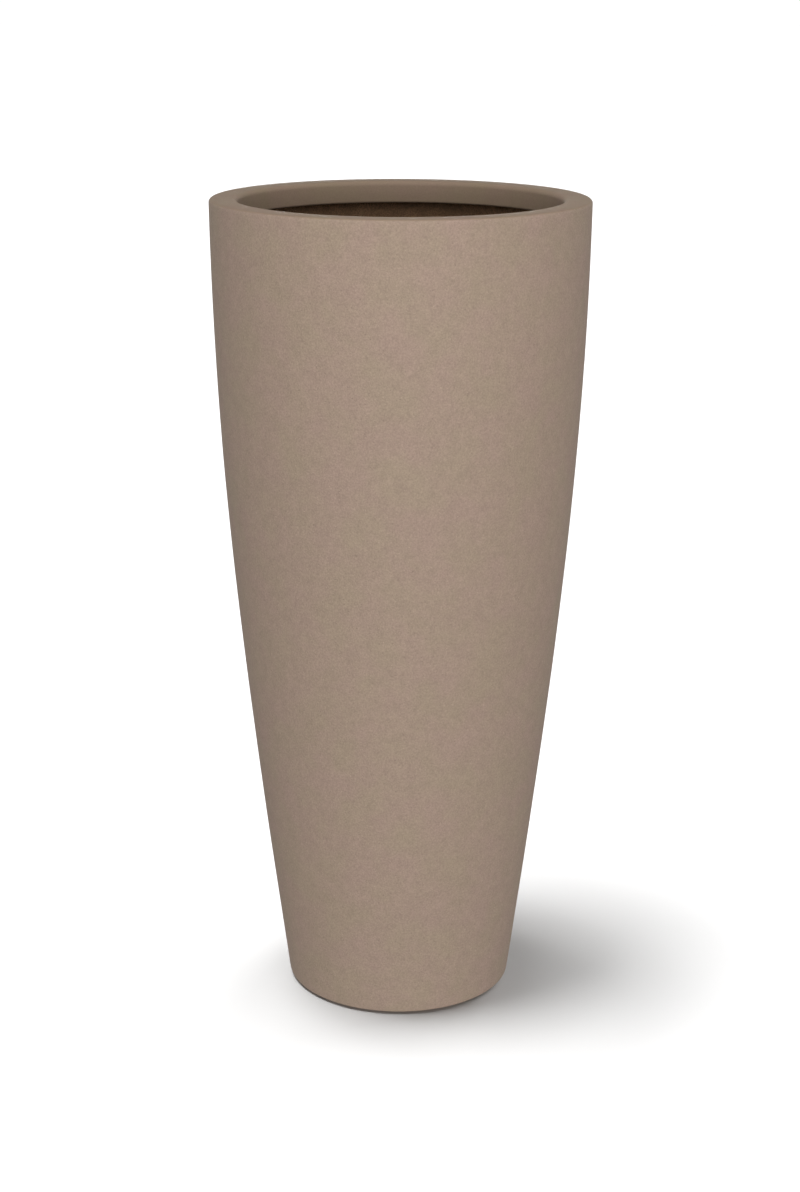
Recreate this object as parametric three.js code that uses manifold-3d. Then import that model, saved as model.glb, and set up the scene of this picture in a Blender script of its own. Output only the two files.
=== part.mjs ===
// A tall round planter in hand-laid fibreglass: a tapered shell, a broad flat rim that turns down inside
// the mouth, a bonded base with a drain and its rubber bung, four rubber pads to stand on, and a lift-out
// shelf halfway up that carries the planting.
// Millimetres, +Z up. The origin is on the floor, under the middle of the planter.

import * as THREE from "three";
import { mergeVertices } from "three/addons/utils/BufferGeometryUtils.js";
import Module from "manifold-3d";

const wasm = await Module();
wasm.setup();

// Overall form
const height = 1000; // floor to the top of the rim
const rimRadius = 227.5; // outside of the wall at the rim
const footRadius = 142; // outside of the wall at the foot
const footLean = 0.1335; // how far the wall leans out per millimetre of height, at the foot
const rimLean = 0.0095; // the same at the rim, where it stands almost upright
const footReach = 0.516; // share of the height along which the foot's lean steers the curve
const rimReach = 0.25; // share of the height along which the rim's lean steers it

// Shell
const wall = 5;
const footCorner = 3; // radius of the outer corner at the foot
const flangeWidth = 34; // how far the shell turns in under the base
const flangeThickness = 6;
const innerCove = 4; // radius between the wall and the turned-in flange

// Rim collar
const rimWidth = 34; // outer edge to mouth
const rimThickness = 7;
const rimOuterCorner = 4;
const rimInnerCorner = 6;
const lipHeight = 8; // the collar's outer edge, over the top of the shell
const skirtDepth = 27.5; // rim top to the bottom of the turned-down skirt
const skirtThickness = 6;
const spigotDepth = 30; // below the lip, inside the shell
const spigotThickness = 4;

// Laminated strips over the two bonded joints
const stripThickness = 3;
const collarStripLap = 22; // on the wall, below the collar's joint
const collarStripRoom = 9; // between the strip's upper edge and the underside of the rim
const baseStripRise = 42; // up the wall
const baseStripReach = 34; // over the base
const baseStripCove = 12; // radius in its corner

// Base and drain
const plateThickness = 8;
const plateFall = 3; // the top of the base drops this much towards the drain
const plateEdgeRoom = 5; // between the base's edge and the wall
const drainBore = 25; // diameter
const drainSleeveWall = 3.2;
const drainFlangeReach = 8.3; // beyond the sleeve
const drainFlangeThickness = 3;
const drainFlangeChamfer = 1;
const drainSeatRoom = 3; // flat land on the base, round the drain's flange
const drainDrip = 3; // how far the sleeve reaches below the base
const bungHeadReach = 5.5; // beyond the bore
const bungHeadThickness = 5;
const bungTaper = 1.2; // radius lost along the stem
const bungTail = 1.5; // stem past the end of the sleeve
const pullRingRadius = 9;
const pullRingWire = 2; // radius
const pullRingSink = 4; // how far the ring is moulded into the head

// Pads
const padHeight = 3;
const padRadius = 13;
const padCount = 4;

// Shelf and the lugs that carry it
const plantingDepth = 500; // rim top to the shelf
const shelfThickness = 6;
const shelfRimDepth = 20;
const shelfRimThickness = 5;
const shelfRound = 2;
const shelfRoom = 7.5; // round the shelf, in the mouth and against the wall
const handHoleRadius = 35;
const handHoleDepth = 15;
const weepHoleRadius = 4;
const weepHoleCount = 12;
const lugWidth = 44;
const lugHeight = 52;
const lugNose = 9; // depth of the lug's inner end
const lugSeat = 19; // how far each lug reaches in under the shelf
const lugCount = 4;

// Fits
const bondGap = 0.3; // filled with resin, or where one piece rests on another
const bungGap = 0.3; // between the bung's stem and its sleeve

// Fineness of the faceting
const roundSteps = 60; // round the large turned pieces
const smallRoundSteps = 32; // round the small ones
const wallSteps = 12; // up the wall
const cornerSteps = 4;
const edgeSteps = 2; // in the rounded edges of the small pieces
const drillSteps = 12; // round a weep hole
const ringSteps = 20; // round the bung's ring
const wireSteps = 8; // round the wire of the ring

// ---------------------------------------------------------------- the wall's curve

const footZ = padHeight;
const wallCurve = new THREE.CubicBezierCurve(
  new THREE.Vector2(footRadius, footZ),
  new THREE.Vector2(footRadius + footLean * footReach * height, footZ + footReach * height),
  new THREE.Vector2(rimRadius - rimLean * rimReach * height, height - rimReach * height),
  new THREE.Vector2(rimRadius, height),
);

// The wall is straight between these points, so whatever follows it lies face to face with it.
const wallStations = wallCurve.getPoints(wallSteps);

function outerRadiusAt(z) {
  const next = Math.max(1, wallStations.findIndex((station) => station.y >= z));
  const below = wallStations[next - 1];
  const above = wallStations[next];
  return below.x + ((above.x - below.x) * (z - below.y)) / (above.y - below.y);
}

const innerRadiusAt = (z) => outerRadiusAt(z) - wall;

// Points along the wall from one height to another, moved in from the outside by an inset.
function wallLine(fromZ, toZ, inset) {
  const low = Math.min(fromZ, toZ);
  const high = Math.max(fromZ, toZ);
  const between = wallStations.map((station) => station.y).filter((z) => z > low && z < high);
  const points = [low, ...between, high].map((z) => [outerRadiusAt(z) - inset, z]);
  return fromZ < toZ ? points : points.reverse();
}

// ---------------------------------------------------------------- heights that follow

const mouthRadius = rimRadius - rimWidth;
const lipBottom = height - lipHeight;
const shellTop = lipBottom - bondGap;
const skirtBottom = height - skirtDepth;
const spigotBottom = lipBottom - spigotDepth;
const flangeTop = footZ + flangeThickness;
const flangeInnerRadius = footRadius - flangeWidth;
const plateBottom = flangeTop + bondGap;
const plateTop = plateBottom + plateThickness; // at the drain
const plateRadius = innerRadiusAt(plateBottom) - plateEdgeRoom;
const boreRadius = drainBore / 2;
const sleeveRadius = boreRadius + drainSleeveWall;
const sleeveBottom = plateBottom - drainDrip;
const drainFlangeRadius = sleeveRadius + drainFlangeReach;
const drainFlangeTop = plateTop + bondGap + drainFlangeThickness;
const drainSeatRadius = drainFlangeRadius + drainSeatRoom;
const rimUnderside = height - rimThickness;
const shelfTop = height - plantingDepth;
const shelfRimBottom = shelfTop - shelfRimDepth;
const lugTop = shelfRimBottom - bondGap;
const shelfRadius = Math.min(mouthRadius, innerRadiusAt(shelfRimBottom)) - shelfRoom;
const lugNoseRadius = shelfRadius - lugSeat;
const weepCircleRadius = (handHoleRadius + shelfRimThickness + lugNoseRadius) / 2;

// ---------------------------------------------------------------- ways of making solids

const quarter = Math.PI / 2;

// Points on an arc in the section plane, from one angle to another, both ends included.
function arc(centreR, centreZ, radius, from, to, steps = cornerSteps) {
  const points = [];
  for (let i = 0; i <= steps; i++) {
    const angle = from + ((to - from) * i) / steps;
    points.push([centreR + radius * Math.cos(angle), centreZ + radius * Math.sin(angle)]);
  }
  return points;
}

// A section, given as [radius, height] points, turned about Z. A ring's section is closed here.
function turned(section, steps = roundSteps) {
  const points = section.map(([r, z]) => new THREE.Vector2(r, z));
  const onAxis = section[0][0] === 0 && section[section.length - 1][0] === 0;
  if (!onAxis) points.push(points[0].clone());
  return new THREE.LatheGeometry(points, steps).rotateX(quarter);
}

function solidOf(geometry) {
  const bare = new THREE.BufferGeometry();
  bare.setAttribute("position", geometry.getAttribute("position").clone());
  if (geometry.index) bare.setIndex(geometry.index.clone());
  const merged = mergeVertices(bare, 1e-4);
  return new wasm.Manifold(
    new wasm.Mesh({
      numProp: 3,
      vertProperties: merged.attributes.position.array,
      triVerts: new Uint32Array(merged.index.array),
    }),
  );
}

function geometryOf(solid) {
  const mesh = solid.getMesh();
  const geometry = new THREE.BufferGeometry();
  geometry.setAttribute("position", new THREE.BufferAttribute(mesh.vertProperties, 3));
  geometry.setIndex(new THREE.BufferAttribute(mesh.triVerts, 1));
  geometry.computeVertexNormals();
  return geometry;
}

function upright(radius, length, steps) {
  return new THREE.CylinderGeometry(radius, radius, length, steps).rotateX(quarter);
}

const taupeCoat = { color: 0x9f8d7b, roughness: 0.75, metalness: 0 };
const rawLaminate = { color: 0x4a3829, roughness: 0.6, metalness: 0 };
const shelfLaminate = { color: 0x54473a, roughness: 0.6, metalness: 0 };
const blackRubber = { color: 0x1d1c1b, roughness: 0.8, metalness: 0 };
const blackPlastic = { color: 0x26262a, roughness: 0.45, metalness: 0 };

const planter = new THREE.Group();

function place(name, geometry, finish, angle = 0) {
  const mesh = new THREE.Mesh(geometry, new THREE.MeshStandardMaterial(finish));
  mesh.name = name;
  mesh.rotation.z = angle;
  planter.add(mesh);
}

// ---------------------------------------------------------------- shell

// The wall from the flange at its foot to the edge that the collar sits on.
function outerShell() {
  const slant = Math.hypot(1, footLean);
  const cornerZ = footZ + footCorner;
  const tangentZ = cornerZ - (footLean * footCorner) / slant;
  const cornerR = outerRadiusAt(tangentZ) - footCorner / slant;
  const coveR = innerRadiusAt(flangeTop + innerCove) - innerCove;
  return turned([
    ...arc(cornerR, cornerZ, footCorner, -quarter, -Math.atan(footLean)),
    ...wallLine(tangentZ, shellTop, 0).slice(1),
    ...wallLine(shellTop, flangeTop + innerCove, wall),
    ...arc(coveR, flangeTop + innerCove, innerCove, 0, -quarter).slice(1),
    [flangeInnerRadius, flangeTop],
    [flangeInnerRadius, footZ],
  ]);
}

// ---------------------------------------------------------------- rim

// An inverted channel: lip, flat top, skirt down inside the mouth, and a spigot inside the shell.
function rimCollar() {
  const skirtRound = skirtThickness / 2;
  const spigotOuter = wallLine(spigotBottom, lipBottom, wall + bondGap);
  const spigotInnerRadius = spigotOuter[0][0] - spigotThickness;
  return turned([
    [outerRadiusAt(lipBottom), lipBottom],
    ...arc(rimRadius - rimOuterCorner, height - rimOuterCorner, rimOuterCorner, 0, quarter),
    ...arc(mouthRadius + rimInnerCorner, height - rimInnerCorner, rimInnerCorner, quarter, 2 * quarter),
    ...arc(mouthRadius + skirtRound, skirtBottom + skirtRound, skirtRound, 2 * quarter, 4 * quarter),
    [mouthRadius + skirtThickness, rimUnderside],
    [spigotInnerRadius, rimUnderside],
    [spigotInnerRadius, spigotBottom],
    ...spigotOuter,
  ]);
}

// The strip laid over the joint from inside: on the spigot above, on the wall below.
function collarJointStrip() {
  const stepZ = spigotBottom - bondGap;
  const spigotFace = innerRadiusAt(spigotBottom) - bondGap - spigotThickness - bondGap;
  const low = stepZ - collarStripLap;
  const high = rimUnderside - collarStripRoom;
  const wallFace = wallLine(low, stepZ, wall + bondGap);
  return turned([
    ...wallFace,
    [spigotFace, stepZ],
    [spigotFace, high],
    [spigotFace - stripThickness, high],
    [spigotFace - stripThickness, stepZ - stripThickness],
    [wallFace[0][0] - stripThickness, low],
  ]);
}

// ---------------------------------------------------------------- base

// Height of the base's top face at a radius: flat round the drain, then rising to the edge.
function plateTopAt(radius) {
  const share = (radius - drainSeatRadius) / (plateRadius - drainSeatRadius);
  return plateTop + plateFall * Math.max(0, share);
}

function basePlate() {
  const holeRadius = sleeveRadius + bondGap;
  return turned([
    [holeRadius, plateBottom],
    [plateRadius, plateBottom],
    [plateRadius, plateTopAt(plateRadius)],
    [drainSeatRadius, plateTop],
    [holeRadius, plateTop],
  ]);
}

// The strip laid round the corner where the base meets the wall.
function baseJointStrip() {
  const cornerZ = plateTopAt(plateRadius) + bondGap;
  const high = cornerZ + baseStripRise;
  const reachRadius = plateRadius - baseStripReach;
  const coveZ = cornerZ + stripThickness + baseStripCove;
  const coveRadius = innerRadiusAt(coveZ) - bondGap - stripThickness - baseStripCove;
  const wallFace = wallLine(cornerZ, high, wall + bondGap);
  return turned([
    [reachRadius, plateTopAt(reachRadius) + bondGap],
    [plateRadius, cornerZ],
    ...wallFace,
    [wallFace.at(-1)[0] - stripThickness, high],
    ...arc(coveRadius, coveZ, baseStripCove, 0, -quarter),
    [reachRadius, plateTopAt(reachRadius) + bondGap + stripThickness],
  ]);
}

function drainSleeve() {
  const flangeBottom = plateTop + bondGap;
  return turned(
    [
      [boreRadius, sleeveBottom],
      [sleeveRadius, sleeveBottom],
      [sleeveRadius, flangeBottom],
      [drainFlangeRadius, flangeBottom],
      [drainFlangeRadius, drainFlangeTop - drainFlangeChamfer],
      [drainFlangeRadius - drainFlangeChamfer, drainFlangeTop],
      [boreRadius, drainFlangeTop],
    ],
    smallRoundSteps,
  );
}

// A tapered stem, a flat head, and a ring moulded into the head to pull it by.
function drainBung() {
  const headBottom = drainFlangeTop + bondGap;
  const headTop = headBottom + bungHeadThickness;
  const headRadius = boreRadius + bungHeadReach;
  const stemRadius = boreRadius - bungGap;
  const tip = sleeveBottom - bungTail;
  const headCorner = bungHeadThickness / 3;
  const body = turned(
    [
      [0, tip],
      [stemRadius - bungTaper, tip],
      [stemRadius, headBottom],
      [headRadius, headBottom],
      ...arc(headRadius - headCorner, headTop - headCorner, headCorner, 0, quarter, edgeSteps),
      [0, headTop],
    ],
    smallRoundSteps,
  );
  const ring = new THREE.TorusGeometry(pullRingRadius, pullRingWire, wireSteps, ringSteps)
    .rotateX(quarter)
    .translate(0, 0, headTop + pullRingRadius + pullRingWire - pullRingSink);
  return geometryOf(solidOf(body).add(solidOf(ring)));
}

// ---------------------------------------------------------------- pads

function footPad() {
  const thickness = padHeight - bondGap;
  const circleRadius = footRadius - flangeWidth / 2 - footCorner / 2;
  return upright(padRadius, thickness, smallRoundSteps).translate(circleRadius, 0, thickness / 2);
}

// ---------------------------------------------------------------- shelf

function plantingShelf() {
  const top = shelfTop;
  const underside = top - shelfThickness;
  const dish = turned([
    [shelfRadius, shelfRimBottom],
    ...arc(shelfRadius - shelfRound, top - shelfRound, shelfRound, 0, quarter, edgeSteps),
    ...arc(handHoleRadius + shelfRound, top - shelfRound, shelfRound, quarter, 2 * quarter, edgeSteps),
    [handHoleRadius, top - handHoleDepth],
    [handHoleRadius + shelfRimThickness, top - handHoleDepth],
    [handHoleRadius + shelfRimThickness, underside],
    [shelfRadius - shelfRimThickness, underside],
    [shelfRadius - shelfRimThickness, shelfRimBottom],
  ]);
  let solid = solidOf(dish);
  for (let i = 0; i < weepHoleCount; i++) {
    const angle = (2 * Math.PI * i) / weepHoleCount;
    const drill = upright(weepHoleRadius, 3 * shelfThickness, drillSteps).translate(
      weepCircleRadius * Math.cos(angle),
      weepCircleRadius * Math.sin(angle),
      top - shelfThickness / 2,
    );
    solid = solid.subtract(solidOf(drill));
  }
  return geometryOf(solid);
}

// A bracket bonded to the wall, with a flat seat on top and a back cut to the wall's curve.
function shelfLug() {
  const foot = lugTop - lugHeight;
  const beyondWall = rimRadius;
  const side = new THREE.Shape([
    new THREE.Vector2(lugNoseRadius, lugTop),
    new THREE.Vector2(lugNoseRadius, lugTop - lugNose),
    new THREE.Vector2(innerRadiusAt(foot) - stripThickness, foot),
    new THREE.Vector2(beyondWall, foot),
    new THREE.Vector2(beyondWall, lugTop),
  ]);
  const block = new THREE.ExtrudeGeometry(side, { depth: lugWidth, bevelEnabled: false })
    .rotateX(quarter)
    .translate(0, lugWidth / 2, 0);
  const hollow = turned([
    [0, foot - wall],
    ...wallLine(foot - wall, lugTop + wall, wall + bondGap),
    [0, lugTop + wall],
  ]);
  return geometryOf(solidOf(block).intersect(solidOf(hollow)));
}

// ---------------------------------------------------------------- assembly

place("outer_shell", outerShell(), taupeCoat);
place("rim_collar", rimCollar(), taupeCoat);
place("collar_joint_strip", collarJointStrip(), rawLaminate);
place("base_plate", basePlate(), rawLaminate);
place("base_joint_strip", baseJointStrip(), rawLaminate);
place("drain_sleeve", drainSleeve(), blackPlastic);
place("drain_bung", drainBung(), blackRubber);
place("planting_shelf", plantingShelf(), shelfLaminate);
for (let i = 0; i < padCount; i++) {
  place(`foot_pad_${i + 1}`, footPad(), blackRubber, ((i + 0.5) * 2 * Math.PI) / padCount);
}
for (let i = 0; i < lugCount; i++) {
  place(`shelf_lug_${i + 1}`, shelfLug(), rawLaminate, (i * 2 * Math.PI) / lugCount);
}

export default planter;
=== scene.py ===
"""A tall round fibreglass planter, dressed for display on a pale floor.

The frame gives the place of every piece. The classes below make the pieces again with a finer surface: the
wall by its own curve, the other round pieces by turning an outline, and the repeated ones by setting copies
round a circle. Every length is in metres, with +Z up and the origin on the floor under the planter's middle.
"""

import logging
import math
from dataclasses import dataclass, fields
from enum import Enum
from typing import Any, Iterable, Sequence

import bmesh
import bpy
from mathutils import Matrix, Vector


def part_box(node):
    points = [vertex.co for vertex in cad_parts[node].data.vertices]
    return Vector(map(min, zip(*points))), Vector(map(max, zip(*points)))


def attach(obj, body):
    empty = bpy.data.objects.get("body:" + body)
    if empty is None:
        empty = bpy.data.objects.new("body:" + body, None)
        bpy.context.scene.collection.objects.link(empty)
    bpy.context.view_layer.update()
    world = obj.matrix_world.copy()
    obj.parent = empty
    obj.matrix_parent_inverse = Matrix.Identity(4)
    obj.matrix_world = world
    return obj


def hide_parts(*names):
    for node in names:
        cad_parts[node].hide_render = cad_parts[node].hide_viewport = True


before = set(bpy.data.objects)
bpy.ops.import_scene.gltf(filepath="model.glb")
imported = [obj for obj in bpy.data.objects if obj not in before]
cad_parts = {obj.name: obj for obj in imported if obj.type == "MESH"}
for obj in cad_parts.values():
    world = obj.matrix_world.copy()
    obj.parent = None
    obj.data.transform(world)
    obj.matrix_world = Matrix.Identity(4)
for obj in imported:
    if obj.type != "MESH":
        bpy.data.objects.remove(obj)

logging.basicConfig(level=logging.INFO, format="%(name)s: %(message)s")
LOG = logging.getLogger("planter")

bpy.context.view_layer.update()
MM = 0.001
SEAM = 0.005 * MM  # points that lie closer than this are one
QUARTER_TURN = math.pi / 2
HALF_TURN = math.pi
FULL_TURN = 2 * math.pi

Colour = tuple[float, float, float]


# ---------------------------------------------------------------- node trees, written as expressions


class Wire:
    """One output socket of a node tree. Arithmetic on it adds the nodes that it needs."""

    def __init__(self, bench: "Bench", socket: bpy.types.NodeSocket) -> None:
        """Keeps the socket, and the bench whose tree it belongs to."""
        self.bench = bench
        self.socket = socket

    @property
    def is_vector(self) -> bool:
        """True for a vector or a colour, which Math nodes would turn grey."""
        return self.socket.type in {"VECTOR", "RGBA"}

    def other(self, name: str) -> "Wire":
        """Another output of the same node, by its name."""
        return Wire(self.bench, self.socket.node.outputs[name])

    def part(self, axis: str) -> "Wire":
        """One component of a vector: X, Y or Z."""
        return self.bench.add("ShaderNodeSeparateXYZ", {0: self}, out=axis)

    def __add__(self, other: Any) -> "Wire":
        """This plus other."""
        return self.bench.math("ADD", self, other)

    __radd__ = __add__

    def __mul__(self, other: Any) -> "Wire":
        """This times other."""
        return self.bench.math("MULTIPLY", self, other)

    __rmul__ = __mul__

    def __sub__(self, other: Any) -> "Wire":
        """This minus other."""
        return self.bench.math("SUBTRACT", self, other)

    def __rsub__(self, other: Any) -> "Wire":
        """Other minus this."""
        return self.bench.math("SUBTRACT", other, self)

    def __truediv__(self, other: Any) -> "Wire":
        """This over other."""
        return self.bench.math("DIVIDE", self, other)

    def __rtruediv__(self, other: Any) -> "Wire":
        """Other over this."""
        return self.bench.math("DIVIDE", other, self)

    def __gt__(self, other: Any) -> "Wire":
        """1 where this is more than other, and 0 elsewhere."""
        return self.bench.math("GREATER_THAN", self, other)

    def __lt__(self, other: Any) -> "Wire":
        """1 where this is less than other, and 0 elsewhere."""
        return self.bench.math("LESS_THAN", self, other)


class Bench:
    """A node tree under construction."""

    def __init__(self, tree: bpy.types.NodeTree) -> None:
        """Works on an existing, empty tree."""
        self.tree = tree

    def add(
        self,
        kind: str,
        sockets: dict[int | str, Any] | None = None,
        out: int | str = 0,
        **settings: Any,
    ) -> Wire:
        """Adds one node.

        Args:
            kind: Blender's name for the node's type.
            sockets: What each input gets, by name or number: a value, a wire, or a list of wires.
            out: The output to hand back.
            **settings: The node's own settings, which are made before its inputs are filled.

        Returns:
            The chosen output.
        """
        node = self.tree.nodes.new(kind)
        for name, value in settings.items():
            setattr(node, name, value)
        for key, value in (sockets or {}).items():
            self.plug(value, node.inputs[key])
        return Wire(self, node.outputs[out])

    def plug(self, value: Any, socket: bpy.types.NodeSocket) -> None:
        """Fills an input.

        Args:
            value: A wire or a list of wires to link to it, or else its value.
            socket: The input.
        """
        if isinstance(value, (Wire, list)):
            for wire in value if isinstance(value, list) else [value]:
                self.tree.links.new(wire.socket, socket)
        else:
            socket.default_value = value

    def math(self, operation: str, first: Any, second: Any) -> Wire:
        """One step of arithmetic, on numbers or on vectors.

        Args:
            operation: Blender's name for the step, such as ADD.
            first: A wire, a number or a tuple.
            second: Another of them.

        Returns:
            The result, a vector if either was one.
        """
        vectors = [isinstance(v, tuple) or (isinstance(v, Wire) and v.is_vector) for v in (first, second)]
        if not any(vectors):
            return self.add("ShaderNodeMath", {0: first, 1: second}, operation=operation)
        if all(vectors):
            return self.add("ShaderNodeVectorMath", {0: first, 1: second}, operation=operation)
        vector, factor = (first, second) if vectors[0] else (second, first)
        factor = 1 / factor if operation == "DIVIDE" else factor
        return self.add("ShaderNodeVectorMath", {0: vector, "Scale": factor}, operation="SCALE")

    def vector(self, x: Any = 0.0, y: Any = 0.0, z: Any = 0.0) -> Wire:
        """A vector from three numbers or wires."""
        return self.add("ShaderNodeCombineXYZ", {0: x, 1: y, 2: z})

    def ramp(self, value: Wire, low: float, high: float, to_low: float = 0.0, to_high: float = 1.0) -> Wire:
        """A smooth step from one level to another as a value goes from low to high."""
        levels = {0: value, 1: low, 2: high, 3: to_low, 4: to_high}
        return self.add("ShaderNodeMapRange", levels, interpolation_type="SMOOTHSTEP")

    def noise(self, place: Wire, size: float, detail: float = 2.0, **more: float) -> Wire:
        """Soft random variation about 0.5, with lumps of about the given size."""
        sockets = {"Vector": place, "Scale": 1 / size, "Detail": detail, **more}
        return self.add("ShaderNodeTexNoise", sockets, out="Fac")


# ---------------------------------------------------------------- geometry recipes


def placed(name: str, data: bpy.types.ID) -> bpy.types.Object:
    """Adds an object with the given data to the scene, at the origin."""
    thing = bpy.data.objects.new(name, data)
    bpy.context.scene.collection.objects.link(thing)
    return thing


def mesh_alone(piece: bpy.types.Object) -> bpy.types.Mesh:
    """Takes an object away and keeps its mesh, for a recipe to start from."""
    mesh = piece.data
    bpy.data.objects.remove(piece)
    return mesh


def as_inputs(*parts: Any) -> dict[str, Any]:
    """The fields of some dataclasses, by the names that a recipe's inputs have: foot_round is Foot Round."""
    sizes = [(field.name, getattr(part, field.name)) for part in parts for field in fields(part)]
    return {name.replace("_", " ").title(): size for name, size in sizes}


class Recipe:
    """A Geometry Nodes tree with named inputs, run on a mesh to give a plain mesh."""

    def __init__(self, name: str) -> None:
        """Starts an empty tree with its geometry going in and out."""
        self.tree = bpy.data.node_groups.new(name, "GeometryNodeTree")
        self.bench = Bench(self.tree)
        self.entry = self.tree.nodes.new("NodeGroupInput")
        self.tree.interface.new_socket("Geometry", in_out="OUTPUT", socket_type="NodeSocketGeometry")
        self.start = self.given("Geometry", "Geometry")

    def given(self, name: str, kind: str = "Float") -> Wire:
        """Adds a named input.

        Args:
            name: What the input is called.
            kind: Its kind of socket, such as Float, Int, Material or Object.

        Returns:
            The input, as a wire.
        """
        self.tree.interface.new_socket(name, in_out="INPUT", socket_type=f"NodeSocket{kind}")
        return Wire(self.bench, self.entry.outputs[name])

    def numbers(self, *names: str, kind: str = "Float") -> list[Wire]:
        """Adds several named inputs of one kind, plain numbers unless another is given."""
        return [self.given(name, kind) for name in names]

    def end(self, geometry: Wire, linings: Iterable[tuple[Wire, Wire]] = ()) -> "Recipe":
        """Ends the tree in plain geometry with its material.

        Args:
            geometry: What the tree has made.
            linings: Further materials, each with the faces that take it.

        Returns:
            The finished recipe.
        """
        add = self.bench.add
        plain = add("GeometryNodeRealizeInstances", {0: geometry})
        plain = add("GeometryNodeSetMaterial", {0: plain, "Material": self.given("Finish", "Material")})
        for faces, finish in linings:
            plain = add("GeometryNodeSetMaterial", {0: plain, "Selection": faces, "Material": finish})
        exit_node = self.tree.nodes.new("NodeGroupOutput")
        self.bench.plug(plain, exit_node.inputs[0])
        return self

    def make(self, name: str, start: bpy.types.Mesh, values: dict[str, Any]) -> bpy.types.Object:
        """Runs the tree.

        Args:
            name: The name of the new object.
            start: The mesh that goes in.
            values: What the named inputs get.

        Returns:
            An object at the origin, with the result as a plain mesh and no modifier.
        """
        piece = placed(name, start)
        modifier = piece.modifiers.new(self.tree.name, "NODES")
        modifier.node_group = self.tree
        for item in self.tree.interface.items_tree:
            if item.in_out == "INPUT" and item.name in values:
                modifier[item.identifier] = values[item.name]
        return settled(piece)


def settled(piece: bpy.types.Object) -> bpy.types.Object:
    """Replaces an object's mesh by what its modifiers make of it, with every face pointing out.

    Args:
        piece: The object, with its modifiers.

    Returns:
        The same object, with a plain mesh and no modifier.
    """
    graph = bpy.context.evaluated_depsgraph_get()
    mesh = bpy.data.meshes.new_from_object(piece.evaluated_get(graph))
    piece.modifiers.clear()
    piece.data = mesh
    mesh.name = piece.name
    if len(mesh.materials) > 1 and mesh.materials[0] is None:
        mesh.materials.pop(index=0)
    if enclosed_volume(mesh) < 0:
        mesh.flip_normals()
    return piece


def enclosed_volume(mesh: bpy.types.Mesh) -> float:
    """Adds up the volume inside a closed mesh.

    Args:
        mesh: The mesh.

    Returns:
        The volume, negative if the faces point in.
    """
    mesh.calc_loop_triangles()
    points = [vertex.co for vertex in mesh.vertices]
    total = 0.0
    for triangle in mesh.loop_triangles:
        a, b, c = (points[i] for i in triangle.vertices)
        total += a.dot(b.cross(c))
    return total / 6


def swept_round(bench: Bench, section: Wire, steps: Wire) -> Wire:
    """Sweeps a section of (radius, height) points once round the Z axis.

    Args:
        bench: The tree to work in.
        section: The section, as a curve in the XY plane.
        steps: How many copies of the section stand round the axis.

    Returns:
        The swept mesh. Attributes of the section's points stay on it.
    """
    needle = 0.001 * MM
    path = bench.add("GeometryNodeCurvePrimitiveCircle", {"Resolution": steps, 4: needle}, mode="RADIUS")
    mesh = bench.add("GeometryNodeCurveToMesh", {"Curve": path, "Profile Curve": section})
    return bench.add("GeometryNodeTransform", {"Geometry": mesh, "Rotation": (HALF_TURN, 0.0, 0.0)})


def smoothed(bench: Bench, geometry: Wire) -> Wire:
    """Shades a mesh smooth, except over edges sharper than a rounded corner would leave.

    Args:
        bench: The tree to work in.
        geometry: The mesh.

    Returns:
        The mesh with its shading.
    """
    keep_sharp = math.radians(40)
    whole = bench.add("GeometryNodeSetShadeSmooth", {0: geometry, "Shade Smooth": True}, domain="FACE")
    angle = bench.add("GeometryNodeInputMeshEdgeAngle", out="Unsigned Angle")
    edges = {0: whole, "Selection": angle > keep_sharp, "Shade Smooth": False}
    return bench.add("GeometryNodeSetShadeSmooth", edges, domain="EDGE")


def outward(bench: Bench, place: Wire) -> Wire:
    """The level direction from the Z axis to a place."""
    level = bench.vector(place.part("X"), place.part("Y"))
    return bench.add("ShaderNodeVectorMath", {0: level}, operation="NORMALIZE")


def raw_side(bench: Bench) -> Wire:
    """1 on the faces of the wall that are marked as its raw inside, and 0 elsewhere."""
    marked = bench.add("GeometryNodeInputNamedAttribute", {"Name": "inner"}, data_type="FLOAT")
    past_the_edge = 0.6
    return marked > past_the_edge


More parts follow.
